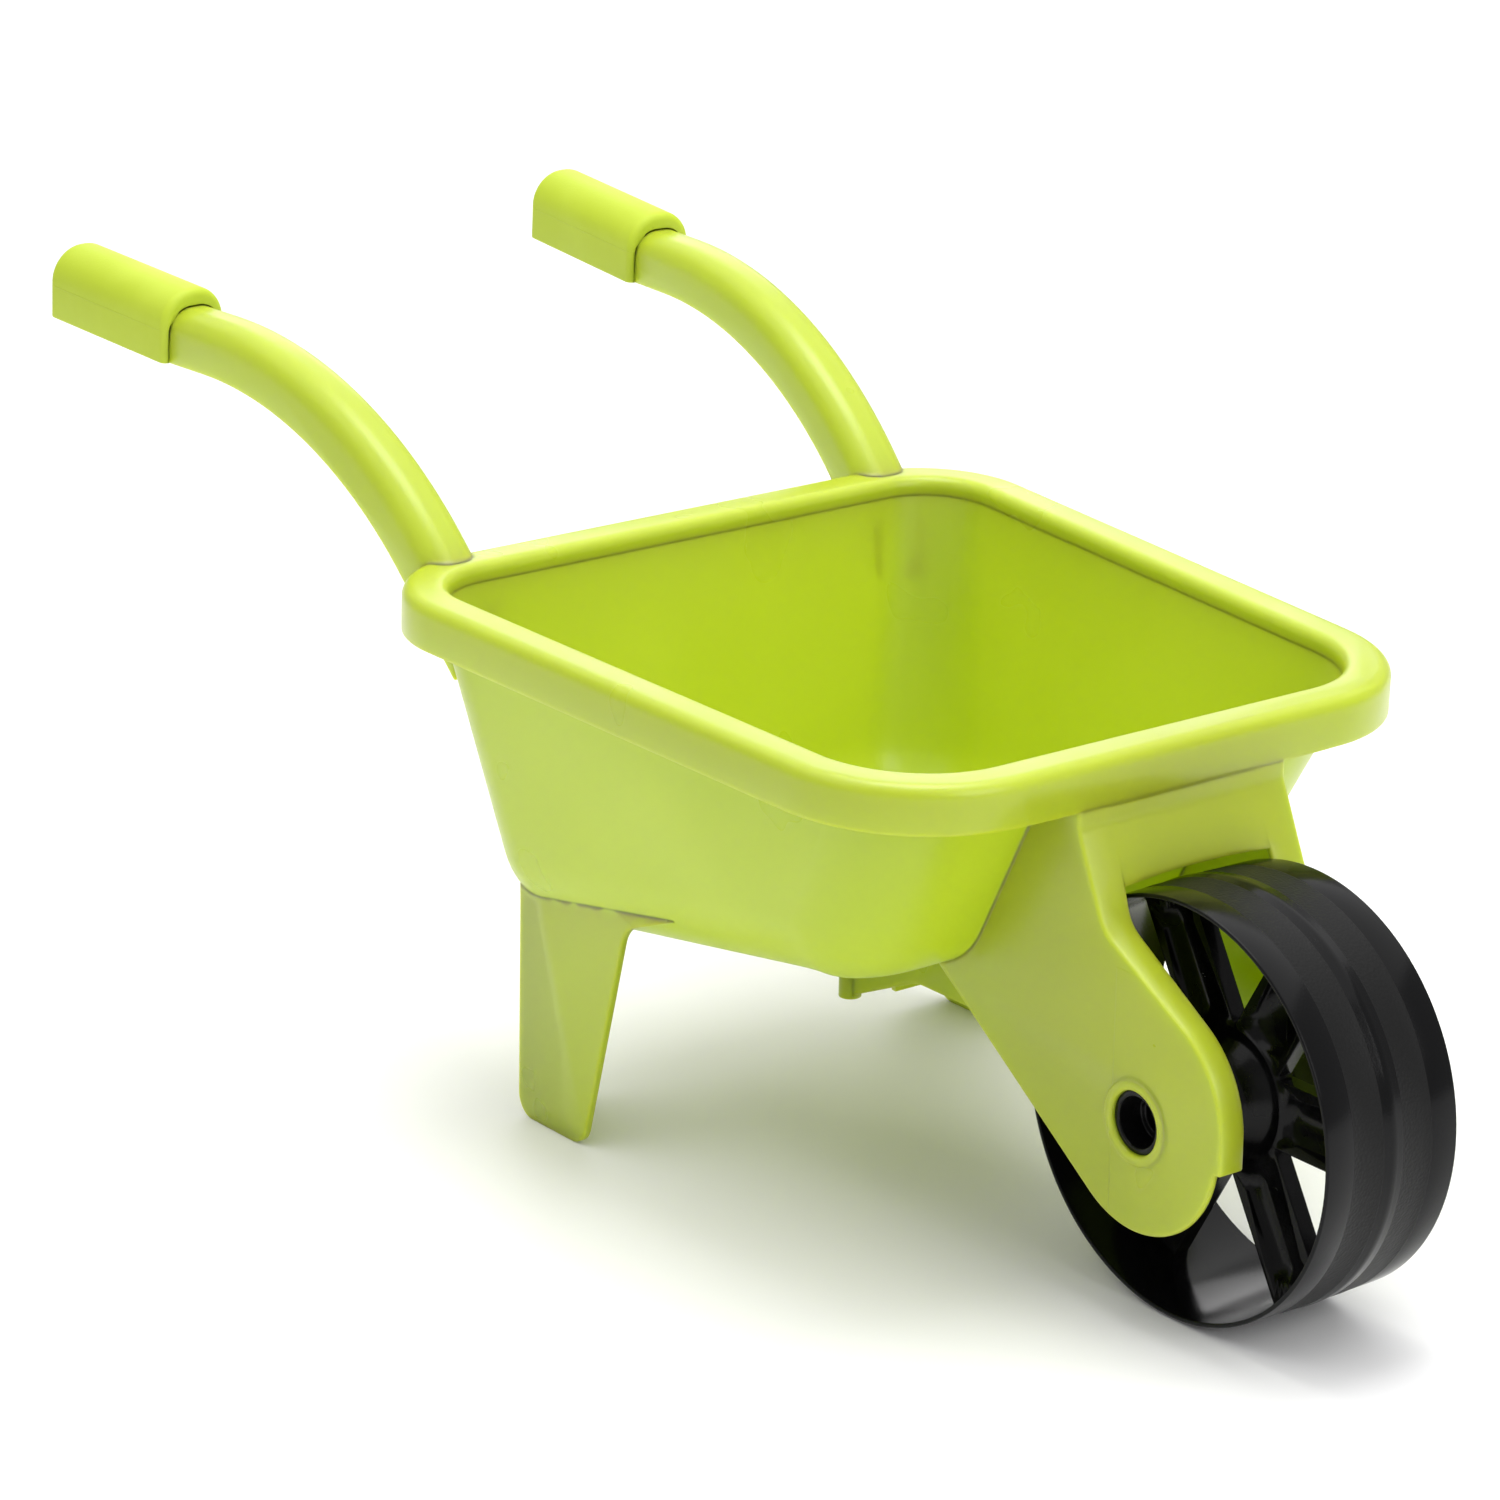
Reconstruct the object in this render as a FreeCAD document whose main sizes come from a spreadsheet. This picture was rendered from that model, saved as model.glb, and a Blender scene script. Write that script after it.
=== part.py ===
import FreeCAD, Part

import math
import os
import re

import Sketcher

# A child's moulded wheelbarrow. X runs forward to the wheel, Y to the left hand, Z up.
# The origin is on the ground, midway between the ends of the grips and the front of the wheel.

SIZES = {
    # wheel and axle
    "tread_radius": 76.2,
    "tread_half": 11.0,
    "edge_radius": 75.7,
    "wheel_half": 29.6,
    "tread_wall": 3.0,
    "edge_wall": 1.6,
    "axle_x": 241.0,
    "web_half": 3.2,
    "spoke_half": 12.5,
    "window_end": 76.0,
    "window_round": 4.0,
    "window_tip": 1.0,
    "panel_start": 26.0,
    "panel_end": 67.0,
    "panel_half": 8.2,
    "panel_round": 7.0,
    "panel_depth": 2.0,
    "hub_radius": 14.5,
    "hub_half": 34.4,
    "hub_flare": 24.0,
    "hub_flare_half": 4.0,
    "hub_flare_start": 14.0,
    "spigot_radius": 8.6,
    "spigot_length": 12.0,
    "spigot_bore": 6.6,
    "spigot_floor": 2.6,
    "journal_radius": 11.4,
    "journal_bore": 9.1,
    "journal_floor": 2.1,
    "journal_end": 46.4,
    "running_gap": 0.08,
    # tray, in a frame that starts at the rim's rear top edge and leans down to the front
    "rim_rear": -88.0,
    "rim_top": 204.3,
    "rim_lean": 1.89,
    "rim_length": 296.2,
    "rim_half_rear": 142.0,
    "rim_half_front": 126.7,
    "corner_rear": 43.5,
    "corner_front": 58.0,
    "skirt_depth": 17.5,
    "skirt_round": 4.8,
    "rim_width": 17.0,
    "mouth_round": 4.0,
    "lip_depth": 7.0,
    "wall": 2.5,
    "tub_depth": 138.7,
    "floor_rise": 0.192,
    "draft_rear": 0.175,
    "draft_side": 0.165,
    "draft_front": 0.47,
    "floor_corner_rear": 36.0,
    "floor_corner_front": 38.0,
    "floor_round": 34.0,
    # fork: a hood and two cheeks with a turned-in front flange
    "cheek_face": 47.0,
    "cheek_plate": 2.6,
    "flange_inner": 33.2,
    "hood_top": 180.0,
    "hood_lip_x": 207.4,
    "hood_lip_z": 171.0,
    "hood_lip_round": 10.0,
    "neck_x": 221.5,
    "neck_z": 139.0,
    "neck_round": 16.0,
    "brow_x": 283.0,
    "brow_z": 105.5,
    "brow_round": 40.0,
    "flange_end": 70.5,
    "flange_roll": 3.0,
    "flange_roll_top": 148.0,
    "flange_roll_low": 116.0,
    "flange_roll_round": 20.0,
    "flange_spare": 5.0,
    "arch_top": 151.6,
    "arch_radius": 400.0,
    "cheek_radius": 39.5,
    "cheek_slope": 34.7,
    "cheek_root_x": 120.0,
    "bearing_radius": 14.3,
    "bearing_inner": 35.0,
    "ring_radius": 15.1,
    "ring_height": 1.2,
    "bore_spare": 3.0,
    # legs
    "leg_face": 102.5,
    "leg_plate": 2.6,
    "leg_flange": 27.0,
    "leg_rear": -38.0,
    "leg_toe": 2.2,
    "leg_knee_x": 27.0,
    "leg_knee_z": 92.5,
    "leg_root_x": 56.0,
    "leg_root_z": 104.0,
    "leg_top": 125.0,
    "foot_round": 8.5,
    "knee_round": 13.0,
    "foot_draft": 1.5,
    "leg_back_step": 1.0,
    # keel under the tub
    "keel_half": 1.6,
    "post_x": 30.0,
    "post_radius": 4.3,
    "post_bottom": 44.5,
    "keel_bottom": 62.5,
    "keel_ramp_x": 70.0,
    "keel_end_x": 132.0,
    "keel_tip_x": 146.0,
    "keel_top": 112.0,
    "keel_tip_drop": 12.0,
    "keel_ramp_round": 20.0,
    "post_step": 2.0,
    # handles
    "arm_end": -262.0,
    "arm_bend_x": -219.0,
    "arm_bottom": 247.0,
    "arm_bend": 170.0,
    "arm_height": 21.0,
    "arm_turn": 46.0,
    "arm_root_x": -66.0,
    "arm_half": 11.5,
    "arm_round": 9.6,
    "arm_skin": 2.6,
    "arm_open": 5.0,
    "arm_splay": 3.56,
    "arm_offset": 96.5,
    "grip_rear": -317.0,
    "grip_front": -240.5,
    "grip_half": 14.5,
    "grip_height": 28.0,
    "grip_crown": 13.9,
    "grip_edge": 3.0,
    "grip_tilt": 3.0,
    "grip_wall": 3.0,
    "grip_hollow": 20.0,
}

doc = FreeCAD.newDocument("Wheelbarrow")
sheet = doc.addObject("Spreadsheet::Sheet", "Sizes")
for row, (alias, value) in enumerate(SIZES.items(), start=1):
    sheet.set(f"A{row}", alias)
    sheet.set(f"B{row}", str(value))
    sheet.setAlias(f"B{row}", alias)
doc.recompute()

V = FreeCAD.Vector
trimmed = []


def sized(text):
    """Put the sheet's name before every size that an expression mentions."""
    return re.sub(r"[a-z_]+", lambda word: f"Sizes.{word[0]}" if word[0] in SIZES else word[0], text)


def value(text):
    found = sheet.evalExpression(sized(text))
    return float(getattr(found, "Value", found))


def plane(body, role):
    return next(item for item in body.Origin.OriginFeatures if item.Role == role)


def new_body(name):
    body = doc.addObject("PartDesign::Body", name)
    body.Label = name
    return body


def bind(item, key, text):
    item.setExpression(key, sized(text))


def corner_points(corners):
    """Where each rounded corner's arc starts and ends, and its centre."""
    spots = [V(value(c[0]), value(c[1]), 0) for c in corners]
    result = []
    for index, corner in enumerate(corners):
        spot = spots[index]
        if len(corner) == 2:
            result.append((spot, spot, spot, None, 0, 0))
            continue
        radius = value(corner[2])
        arriving = (spot - spots[index - 1]).normalize()
        leaving = (spots[(index + 1) % len(spots)] - spot).normalize()
        turn = arriving.getAngle(leaving)
        reach = radius * math.tan(turn / 2)
        side = 1 if arriving.cross(leaving).z > 0 else -1
        start = spot - arriving * reach
        centre = start + V(-arriving.y, arriving.x, 0) * radius * side
        result.append((spot, start, spot + leaving * reach, centre, radius, side))
    return result


def outline(body, name, role, corners, offset="0", tilt=None):
    """A closed sketch: each corner is bound to the sheet and may be rounded by an arc."""
    sketch = body.newObject("Sketcher::SketchObject", name)
    sketch.AttachmentSupport = [(plane(body, role), "")]
    sketch.MapMode = "FlatFace"
    if tilt:
        sketch.AttachmentOffset = FreeCAD.Placement(V(0, 0, 0), FreeCAD.Rotation(V(0, 1, 0), 1))
        bind(sketch, "AttachmentOffset.Rotation.Angle", tilt)
    bind(sketch, "AttachmentOffset.Base.z", offset)
    points = corner_points(corners)
    count = len(points)
    lines = []
    for index in range(count):
        following = points[(index + 1) % count]
        lines.append(sketch.addGeometry(Part.LineSegment(points[index][2], following[1])))
    for index, (corner, point) in enumerate(zip(corners, points)):
        spot, start, end, centre, radius, side = point
        before = lines[index - 1]
        after = lines[index]
        if centre is None:
            sketch.addConstraint(Sketcher.Constraint("Coincident", before, 2, after, 1))
            held = (after, 1)
        else:
            first, last = (start, end) if side > 0 else (end, start)
            circle = Part.Circle(centre, V(0, 0, 1), radius)
            arc = sketch.addGeometry(
                Part.ArcOfCircle(circle, circle.parameter(first), circle.parameter(last))
            )
            ends = (1, 2) if side > 0 else (2, 1)
            sketch.addConstraint(Sketcher.Constraint("Tangent", before, 2, arc, ends[0]))
            sketch.addConstraint(Sketcher.Constraint("Tangent", after, 1, arc, ends[1]))
            rule = sketch.addConstraint(Sketcher.Constraint("Radius", arc, radius))
            sketch.renameConstraint(rule, f"round_{index}")
            bind(sketch, f"Constraints.round_{index}", corner[2])
            mark = sketch.addGeometry(Part.Point(spot), True)
            sketch.addConstraint(Sketcher.Constraint("PointOnObject", mark, 1, before))
            sketch.addConstraint(Sketcher.Constraint("PointOnObject", mark, 1, after))
            held = (mark, 1)
        for kind, letter, where, text in (
            ("DistanceX", "x", spot.x, corner[0]),
            ("DistanceY", "y", spot.y, corner[1]),
        ):
            rule = sketch.addConstraint(Sketcher.Constraint(kind, -1, 1, *held, where))
            sketch.renameConstraint(rule, f"{letter}_{index}")
            bind(sketch, f"Constraints.{letter}_{index}", text)
    doc.recompute()
    return sketch


def disc(body, name, role, radius, across, up, offset="0"):
    """A sketch of one circle."""
    sketch = body.newObject("Sketcher::SketchObject", name)
    sketch.AttachmentSupport = [(plane(body, role), "")]
    sketch.MapMode = "FlatFace"
    bind(sketch, "AttachmentOffset.Base.z", offset)
    circle = sketch.addGeometry(Part.Circle(V(value(across), value(up), 0), V(0, 0, 1), value(radius)))
    for kind, name_of, text, rule in (
        ("Radius", "size", radius, Sketcher.Constraint("Radius", circle, value(radius))),
        ("DistanceX", "x", across, Sketcher.Constraint("DistanceX", -1, 1, circle, 3, value(across))),
        ("DistanceY", "y", up, Sketcher.Constraint("DistanceY", -1, 1, circle, 3, value(up))),
    ):
        place = sketch.addConstraint(rule)
        sketch.renameConstraint(place, name_of)
        bind(sketch, f"Constraints.{name_of}", text)
    doc.recompute()
    return sketch


def pad(body, sketch, length, midplane=False):
    feature = body.newObject("PartDesign::Pad", sketch.Name + "_pad")
    feature.Profile = sketch
    feature.Midplane = midplane
    bind(feature, "Length", length)
    doc.recompute()
    return feature


def pocket(body, sketch):
    """A pocket both ways through everything; it must take something away."""
    before = body.Shape.Volume
    feature = body.newObject("PartDesign::Pocket", sketch.Name + "_pocket")
    feature.Profile = sketch
    feature.Type = "ThroughAll"
    feature.Midplane = True
    doc.recompute()
    if body.Shape.Volume >= before - 1:
        raise RuntimeError(sketch.Name + " takes nothing away")
    return feature


def recess(body, sketch, depth, upward):
    """A pocket of a given depth; it must take something away."""
    before = body.Shape.Volume
    feature = body.newObject("PartDesign::Pocket", sketch.Name + "_recess")
    feature.Profile = sketch
    feature.Reversed = upward
    bind(feature, "Length", depth)
    doc.recompute()
    if body.Shape.Volume >= before - 1:
        raise RuntimeError(sketch.Name + " takes nothing away")
    return feature


def turned(body, sketch, kind="PartDesign::Revolution"):
    """Turn a sketch drawn on the XZ plane about the body's Z axis."""
    feature = body.newObject(kind, sketch.Name + "_turned")
    feature.Profile = sketch
    feature.ReferenceAxis = (sketch, ["V_Axis"])
    feature.Angle = 360
    doc.recompute()
    return feature


def six_times(body, feature):
    pattern = body.newObject("PartDesign::PolarPattern", feature.Name + "_six")
    pattern.Originals = [feature]
    pattern.Axis = (plane(body, "Z_Axis"), [""])
    pattern.Angle = 360
    pattern.Occurrences = 6
    body.Tip = pattern
    doc.recompute()
    return pattern


def rounded(body, base, name, wanted, radius):
    """Round the edges of a feature that the test wants."""
    edges = [f"Edge{i}" for i, edge in enumerate(base.Shape.Edges, start=1) if wanted(edge)]
    feature = body.newObject("PartDesign::Fillet", name)
    feature.Base = (base, edges)
    bind(feature, "Radius", radius)
    doc.recompute()
    return feature


def middle(edge):
    return edge.valueAt((edge.FirstParameter + edge.LastParameter) / 2)


def lowest(edge):
    return min(vertex.Point.z for vertex in edge.Vertexes)


def highest(edge):
    return max(vertex.Point.z for vertex in edge.Vertexes)


def place(item, x="0", y="0", z="0", axis=None, angle="0"):
    if axis:
        item.Placement = FreeCAD.Placement(V(0, 0, 0), FreeCAD.Rotation(axis, 1))
        bind(item, "Placement.Rotation.Angle", angle)
    for letter, text in zip("xyz", (x, y, z)):
        bind(item, f"Placement.Base.{letter}", text)


def cut(name, base, tool):
    feature = doc.addObject("Part::Cut", name)
    feature.Base = base
    feature.Tool = tool
    feature.Label = name
    doc.recompute()
    trimmed.append((name, base.Name, feature.Name))
    return feature


def fuse(name, shapes):
    feature = doc.addObject("Part::MultiFuse", name)
    feature.Shapes = shapes
    feature.Label = name
    doc.recompute()
    return feature


def mirrored(name, source):
    feature = doc.addObject("Part::Mirroring", name)
    feature.Source = source
    feature.Normal = V(0, 1, 0)
    feature.Label = name
    doc.recompute()
    return feature


def rod(name, radius, start, length):
    """A cylinder along Y on the axle's line, from a start to the left."""
    feature = doc.addObject("Part::Cylinder", name)
    feature.Label = name
    bind(feature, "Radius", radius)
    bind(feature, "Height", length)
    place(feature, "axle_x", start, "tread_radius", V(1, 0, 0), "-90")
    return feature


# --- tray -------------------------------------------------------------------------------------


def in_tray(body):
    place(body, "rim_rear", "0", "rim_top", V(0, 1, 0), "rim_lean")


def rim_plan(inset, corner_rear, corner_front):
    """The rim's plan drawn in by a distance: a trapezoid that narrows to the front."""
    narrow = "(rim_half_rear - rim_half_front) / rim_length"
    rear_half = f"rim_half_rear - {narrow} * {inset} - {inset}"
    front_half = f"rim_half_front + {narrow} * {inset} - {inset}"
    return [
        (f"{inset}", f"-({rear_half})", corner_rear),
        (f"rim_length - {inset}", f"-({front_half})", corner_front),
        (f"rim_length - {inset}", front_half, corner_front),
        (f"{inset}", rear_half, corner_rear),
    ]


def tub_solid(name, inset, floor_lift, round_less):
    """A filled tub: a drafted block with rounded corners on a floor that rises to the front."""
    body = new_body(name)
    mouth = outline(
        body,
        name + "_mouth",
        "XY_Plane",
        rim_plan(f"({inset})", f"corner_rear - {inset}", f"corner_front - {inset}"),
        "-lip_depth",
    )
    deep = f"(tub_depth - {floor_lift} - lip_depth)"
    rear = f"(({inset}) + draft_rear * {deep}) / (1 + draft_rear * floor_rise)"
    front = f"(rim_length - ({inset}) - draft_front * {deep}) / (1 - draft_front * floor_rise)"
    narrow = "(rim_half_rear - rim_half_front) / rim_length"
    half = f"rim_half_rear - ({inset}) - {narrow} * (%s) - draft_side * ({deep} - floor_rise * (%s))"
    rear_half = half % (rear, rear)
    front_half = half % (front, front)
    stretch = "sqrt(1 + floor_rise * floor_rise)"
    floor = outline(
        body,
        name + "_floor",
        "XY_Plane",
        [
            (f"{rear} * {stretch}", f"-({rear_half})", f"floor_corner_rear - {round_less}"),
            (f"{front} * {stretch}", f"-({front_half})", f"floor_corner_front - {round_less}"),
            (f"{front} * {stretch}", front_half, f"floor_corner_front - {round_less}"),
            (f"{rear} * {stretch}", rear_half, f"floor_corner_rear - {round_less}"),
        ],
        f"-(tub_depth - {floor_lift})",
        "-atan(floor_rise)",
    )
    loft = body.newObject("PartDesign::AdditiveLoft", name + "_loft")
    loft.Profile = mouth
    loft.Sections = [floor]
    loft.Ruled = True
    doc.recompute()
    limit = -value("tub_depth") * 0.5
    rounded(body, loft, name + "_round", lambda e: highest(e) < limit, f"floor_round - {round_less}")
    in_tray(body)
    return body


rim_block = new_body("rim_block")
rim_block_plan = outline(
    rim_block, "rim_block_plan", "XY_Plane", rim_plan("0", "corner_rear", "corner_front"), "-skirt_depth"
)
rim_block_pad = pad(rim_block, rim_block_plan, "skirt_depth")
rounded(rim_block, rim_block_pad, "rim_block_round", lambda e: lowest(e) > -0.1, "skirt_round")
in_tray(rim_block)

rim = new_body("rim")
rim_path = outline(
    rim,
    "rim_path",
    "XY_Plane",
    [("0", "0")] + rim_plan("0", "corner_rear", "corner_front"),
)
rim_section = outline(
    rim,
    "rim_section",
    "XZ_Plane",
    [
        ("0", "-skirt_depth"),
        ("0", "0", "skirt_round"),
        ("rim_width", "0", "mouth_round"),
        ("rim_width", "-lip_depth"),
        ("rim_width - wall", "-lip_depth"),
        ("rim_width - wall", "-wall", "mouth_round - wall"),
        ("wall", "-wall", "skirt_round - wall"),
        ("wall", "-skirt_depth"),
    ],
)
rim_sweep = rim.newObject("PartDesign::AdditivePipe", "rim_sweep")
rim_sweep.Profile = rim_section
rim_sweep.Spine = (rim_path, [""])
doc.recompute()
in_tray(rim)

tub_block = tub_solid("tub_block", "rim_width - wall", "0", "0")
tub_void = tub_solid("tub_void", "rim_width", "wall", "wall")
tub_shell = cut("tub_shell", tub_block, tub_void)


# --- handles ----------------------------------------------------------------------------------


def arm_side(body, name, start, lift, drop, less):
    """The arm's side view: level at the grip, then bending down to the rim."""
    bottom_turn = f"arm_bend - {drop}"
    top_turn = f"arm_bend + arm_height - {less}"
    bottom = f"arm_bottom - {drop}"
    top = f"arm_bottom + arm_height - {less}"
    low_x = f"(arm_bend_x + ({bottom_turn}) * tan(arm_turn / 2))"
    high_x = f"(arm_bend_x + ({top_turn}) * tan(arm_turn / 2))"
    end = f"(arm_root_x + {lift})"
    return outline(
        body,
        name,
        "XZ_Plane",
        [
            (start, bottom),
            (low_x, bottom, bottom_turn),
            (end, f"{bottom} - ({end} - {low_x}) * tan(arm_turn)"),
            (end, f"{top} - ({end} - {high_x}) * tan(arm_turn)"),
            (high_x, top, top_turn),
            (start, top),
        ],
    )


def along_top(edge):
    """True for the long edges of an arm's upper side."""
    spot = middle(edge)
    level = value("arm_bottom + arm_height")
    centre = V(value("arm_bend_x"), 0, value("arm_bottom - arm_bend"))
    far = math.hypot(spot.x - centre.x, spot.z - centre.z)
    bent = far > value("arm_bend + arm_height") - 4 and spot.x > centre.x
    straight = spot.z > level - 4 and spot.x <= centre.x
    ends = [vertex.Point for vertex in edge.Vertexes]
    return (bent or straight) and abs(ends[0].y - ends[1].y) < 0.1 and abs(ends[0].x - ends[1].x) > 1


def around_an_end(edge):
    """True for the edges round a grip's two ends, apart from the flat underside."""
    level = abs(edge.Vertexes[0].X - edge.Vertexes[-1].X) < 0.1
    return level and highest(edge) > value("arm_bottom") + 1


def on_arm(item):
    place(item, "0", "arm_offset", "0", V(0, 0, 1), "-arm_splay")


arm_full = new_body("arm_full")
arm_full_side = arm_side(arm_full, "arm_full_side", "arm_end", "0", "0", "0")
arm_full_pad = pad(arm_full, arm_full_side, "2 * arm_half", True)
rounded(arm_full, arm_full_pad, "arm_full_round", along_top, "arm_round")
on_arm(arm_full)

arm_core = new_body("arm_core")
arm_core_side = arm_side(
    arm_core, "arm_core_side", "arm_end + arm_skin", "-arm_skin", "arm_open", "arm_skin"
)
arm_core_pad = pad(arm_core, arm_core_side, "2 * (arm_half - arm_skin)", True)
rounded(arm_core, arm_core_pad, "arm_core_round", along_top, "arm_round - arm_skin")
on_arm(arm_core)

arm_hollow = cut("arm_hollow", arm_full, arm_core)
arm_left = cut("arm_over_rim", arm_hollow, rim_block)
handle_arm_left = cut("handle_arm_left", arm_left, tub_block)
handle_arm_right = mirrored("handle_arm_right", handle_arm_left)

grip_block = new_body("grip_block")
grip_plan = outline(
    grip_block,
    "grip_plan",
    "YZ_Plane",
    [
        ("-grip_half", "arm_bottom"),
        ("grip_half", "arm_bottom"),
        ("grip_half", "arm_bottom + grip_height", "grip_crown"),
        ("-grip_half", "arm_bottom + grip_height", "grip_crown"),
    ],
    "grip_rear",
)
grip_pad = pad(grip_block, grip_plan, "grip_front - grip_rear")
rounded(grip_block, grip_pad, "grip_block_round", around_an_end, "grip_edge")
grip_floor = outline(
    grip_block,
    "grip_floor",
    "XY_Plane",
    [
        ("grip_rear + grip_wall", "-(grip_half - grip_wall)"),
        ("arm_end - grip_wall", "-(grip_half - grip_wall)"),
        ("arm_end - grip_wall", "grip_half - grip_wall"),
        ("grip_rear + grip_wall", "grip_half - grip_wall"),
    ],
    "arm_bottom",
)
recess(grip_block, grip_floor, "grip_hollow", True)
# the grip rises a little to the rear, about its front lower edge
place(
    grip_block,
    "grip_front - grip_front * cos(grip_tilt) - arm_bottom * sin(grip_tilt)",
    "0",
    "arm_bottom + grip_front * sin(grip_tilt) - arm_bottom * cos(grip_tilt)",
    V(0, 1, 0),
    "grip_tilt",
)
grip_raised = doc.addObject("Part::Compound", "grip_raised")
grip_raised.Links = [grip_block]
doc.recompute()
on_arm(grip_raised)
grip_left = cut("grip_left", grip_raised, arm_full)
grip_right = mirrored("grip_right", grip_left)

# --- fork -------------------------------------------------------------------------------------

NECK = "atan((hood_lip_z - neck_z) / (neck_x - hood_lip_x))"
BROW = "atan((neck_z - brow_z) / (brow_x - neck_x))"
INSET = {
    "lip": ("-cheek_plate", f"-cheek_plate * tan(45 deg - {NECK} / 2)"),
    "neck": (
        f"-cheek_plate * (sin({NECK}) + sin({BROW})) / (1 + cos({NECK} - {BROW}))",
        f"-cheek_plate * (cos({NECK}) + cos({BROW})) / (1 + cos({NECK} - {BROW}))",
    ),
    "brow": ("-cheek_plate", f"-cheek_plate * tan(45 deg - {BROW} / 2)"),
}


def front_strip(body, name, offset):
    """The hood's wall seen from the side: down from the rim, forward over the wheel, down."""
    return outline(
        body,
        name,
        "XZ_Plane",
        [
            ("hood_lip_x", "hood_top"),
            ("hood_lip_x - cheek_plate", "hood_top"),
            (
                f"hood_lip_x {INSET['lip'][0]}",
                f"hood_lip_z {INSET['lip'][1]}",
                "hood_lip_round + cheek_plate",
            ),
            (f"neck_x {INSET['neck'][0]}", f"neck_z {INSET['neck'][1]}", "neck_round + cheek_plate"),
            (f"brow_x {INSET['brow'][0]}", f"brow_z {INSET['brow'][1]}", "brow_round - cheek_plate"),
            ("brow_x - cheek_plate", "flange_end"),
            ("brow_x", "flange_end"),
            ("brow_x", "brow_z", "brow_round"),
            ("neck_x", "neck_z", "neck_round"),
            ("hood_lip_x", "hood_lip_z", "hood_lip_round"),
        ],
        offset,
    )


hood_wall = new_body("hood_wall")
pad(hood_wall, front_strip(hood_wall, "hood_side", "0"), "2 * flange_inner", True)
pocket(
    hood_wall,
    disc(hood_wall, "hood_arch", "YZ_Plane", "arch_radius", "0", "arch_top - arch_radius"),
)
fork_hood = cut("fork_hood", hood_wall, rim_block)

flange = new_body("cheek_flange")
pad(flange, front_strip(flange, "flange_side", "-cheek_face"), "cheek_face - flange_inner")
flange_edge = outline(
    flange,
    "flange_edge",
    "YZ_Plane",
    [
        ("flange_inner - flange_spare", "flange_roll_top"),
        ("flange_inner", "flange_roll_top"),
        ("flange_inner + flange_roll", "flange_roll_low", "flange_roll_round"),
        ("flange_inner + flange_roll", "flange_end - flange_spare"),
        ("flange_inner - flange_spare", "flange_end - flange_spare"),
    ],
)
pocket(flange, flange_edge)
flange_under_rim = cut("flange_under_rim", flange, rim_block)

plate = new_body("cheek_wall")
plate_side = outline(
    plate,
    "plate_side",
    "XZ_Plane",
    [
        ("hood_lip_x", "hood_top"),
        ("hood_lip_x", "hood_lip_z", "hood_lip_round"),
        ("neck_x", "neck_z", "neck_round"),
        ("brow_x", "brow_z", "brow_round"),
        ("brow_x", "flange_end"),
        ("axle_x", "flange_end"),
        (
            "axle_x - cheek_radius * sin(cheek_slope)",
            "tread_radius - cheek_radius * cos(cheek_slope)",
        ),
        (
            "cheek_root_x",
            "tread_radius - cheek_radius * cos(cheek_slope)"
            " + (axle_x - cheek_radius * sin(cheek_slope) - cheek_root_x) * tan(cheek_slope)",
        ),
        ("cheek_root_x", "hood_top"),
    ],
    "-cheek_face",
)
pad(plate, plate_side, "cheek_plate")
plate_disc = disc(plate, "plate_disc", "XZ_Plane", "cheek_radius", "axle_x", "tread_radius", "-cheek_face")
pad(plate, plate_disc, "cheek_plate")

bearing = rod("bearing", "bearing_radius", "bearing_inner", "cheek_face - bearing_inner")
ring = rod("bearing_ring", "ring_radius", "cheek_face - cheek_plate", "cheek_plate + ring_height")
bore = rod(
    "bearing_bore",
    "journal_radius + running_gap",
    "bearing_inner - bore_spare",
    "cheek_face - bearing_inner + 2 * bore_spare",
)
plate_under_rim = cut("plate_under_rim", plate, rim_block)
cheek = fuse("cheek", [plate_under_rim, flange_under_rim, bearing, ring])
cheek_bored = cut("cheek_bored", cheek, bore)
fork_cheek_left = cut("fork_cheek_left", cheek_bored, tub_block)
fork_cheek_right = mirrored("fork_cheek_right", fork_cheek_left)

# --- legs and keel ----------------------------------------------------------------------------

leg = new_body("leg_wall")
leg_side = outline(
    leg,
    "leg_side",
    "XZ_Plane",
    [
        ("leg_rear + foot_draft", "leg_top"),
        ("leg_rear", "0", "foot_round"),
        ("leg_toe", "0", "foot_round"),
        ("leg_knee_x", "leg_knee_z", "knee_round"),
        ("leg_root_x", "leg_root_z"),
        ("leg_root_x", "leg_top"),
    ],
    "-leg_face",
)
pad(leg, leg_side, "leg_plate")
leg_back = outline(
    leg,
    "leg_back",
    "YZ_Plane",
    [
        ("leg_face", "foot_round"),
        ("leg_face - leg_flange", "foot_round"),
        ("leg_face - leg_flange", "leg_top"),
        ("leg_face", "leg_top"),
    ],
    "leg_rear + leg_back_step",
)
pad(leg, leg_back, "leg_plate")
leg_left = cut("leg_left", leg, tub_block)
leg_right = mirrored("leg_right", leg_left)

keel = new_body("keel_wall")
keel_side = outline(
    keel,
    "keel_side",
    "XZ_Plane",
    [
        ("post_x", "post_bottom"),
        ("post_x + post_radius", "post_bottom + post_step"),
        ("keel_ramp_x", "keel_bottom", "keel_ramp_round"),
        ("keel_end_x", "keel_bottom"),
        ("keel_tip_x", "keel_top - keel_tip_drop"),
        ("keel_tip_x", "keel_top"),
        ("post_x", "keel_top"),
    ],
)
pad(keel, keel_side, "2 * keel_half", True)
pad(
    keel,
    disc(keel, "keel_post", "XY_Plane", "post_radius", "post_x", "0", "post_bottom"),
    "keel_top - post_bottom",
)
keel_rib = cut("keel_rib", keel, tub_block)

# --- wheel ------------------------------------------------------------------------------------


def on_axle(item):
    place(item, "axle_x", "0", "tread_radius", V(1, 0, 0), "-90")


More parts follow.
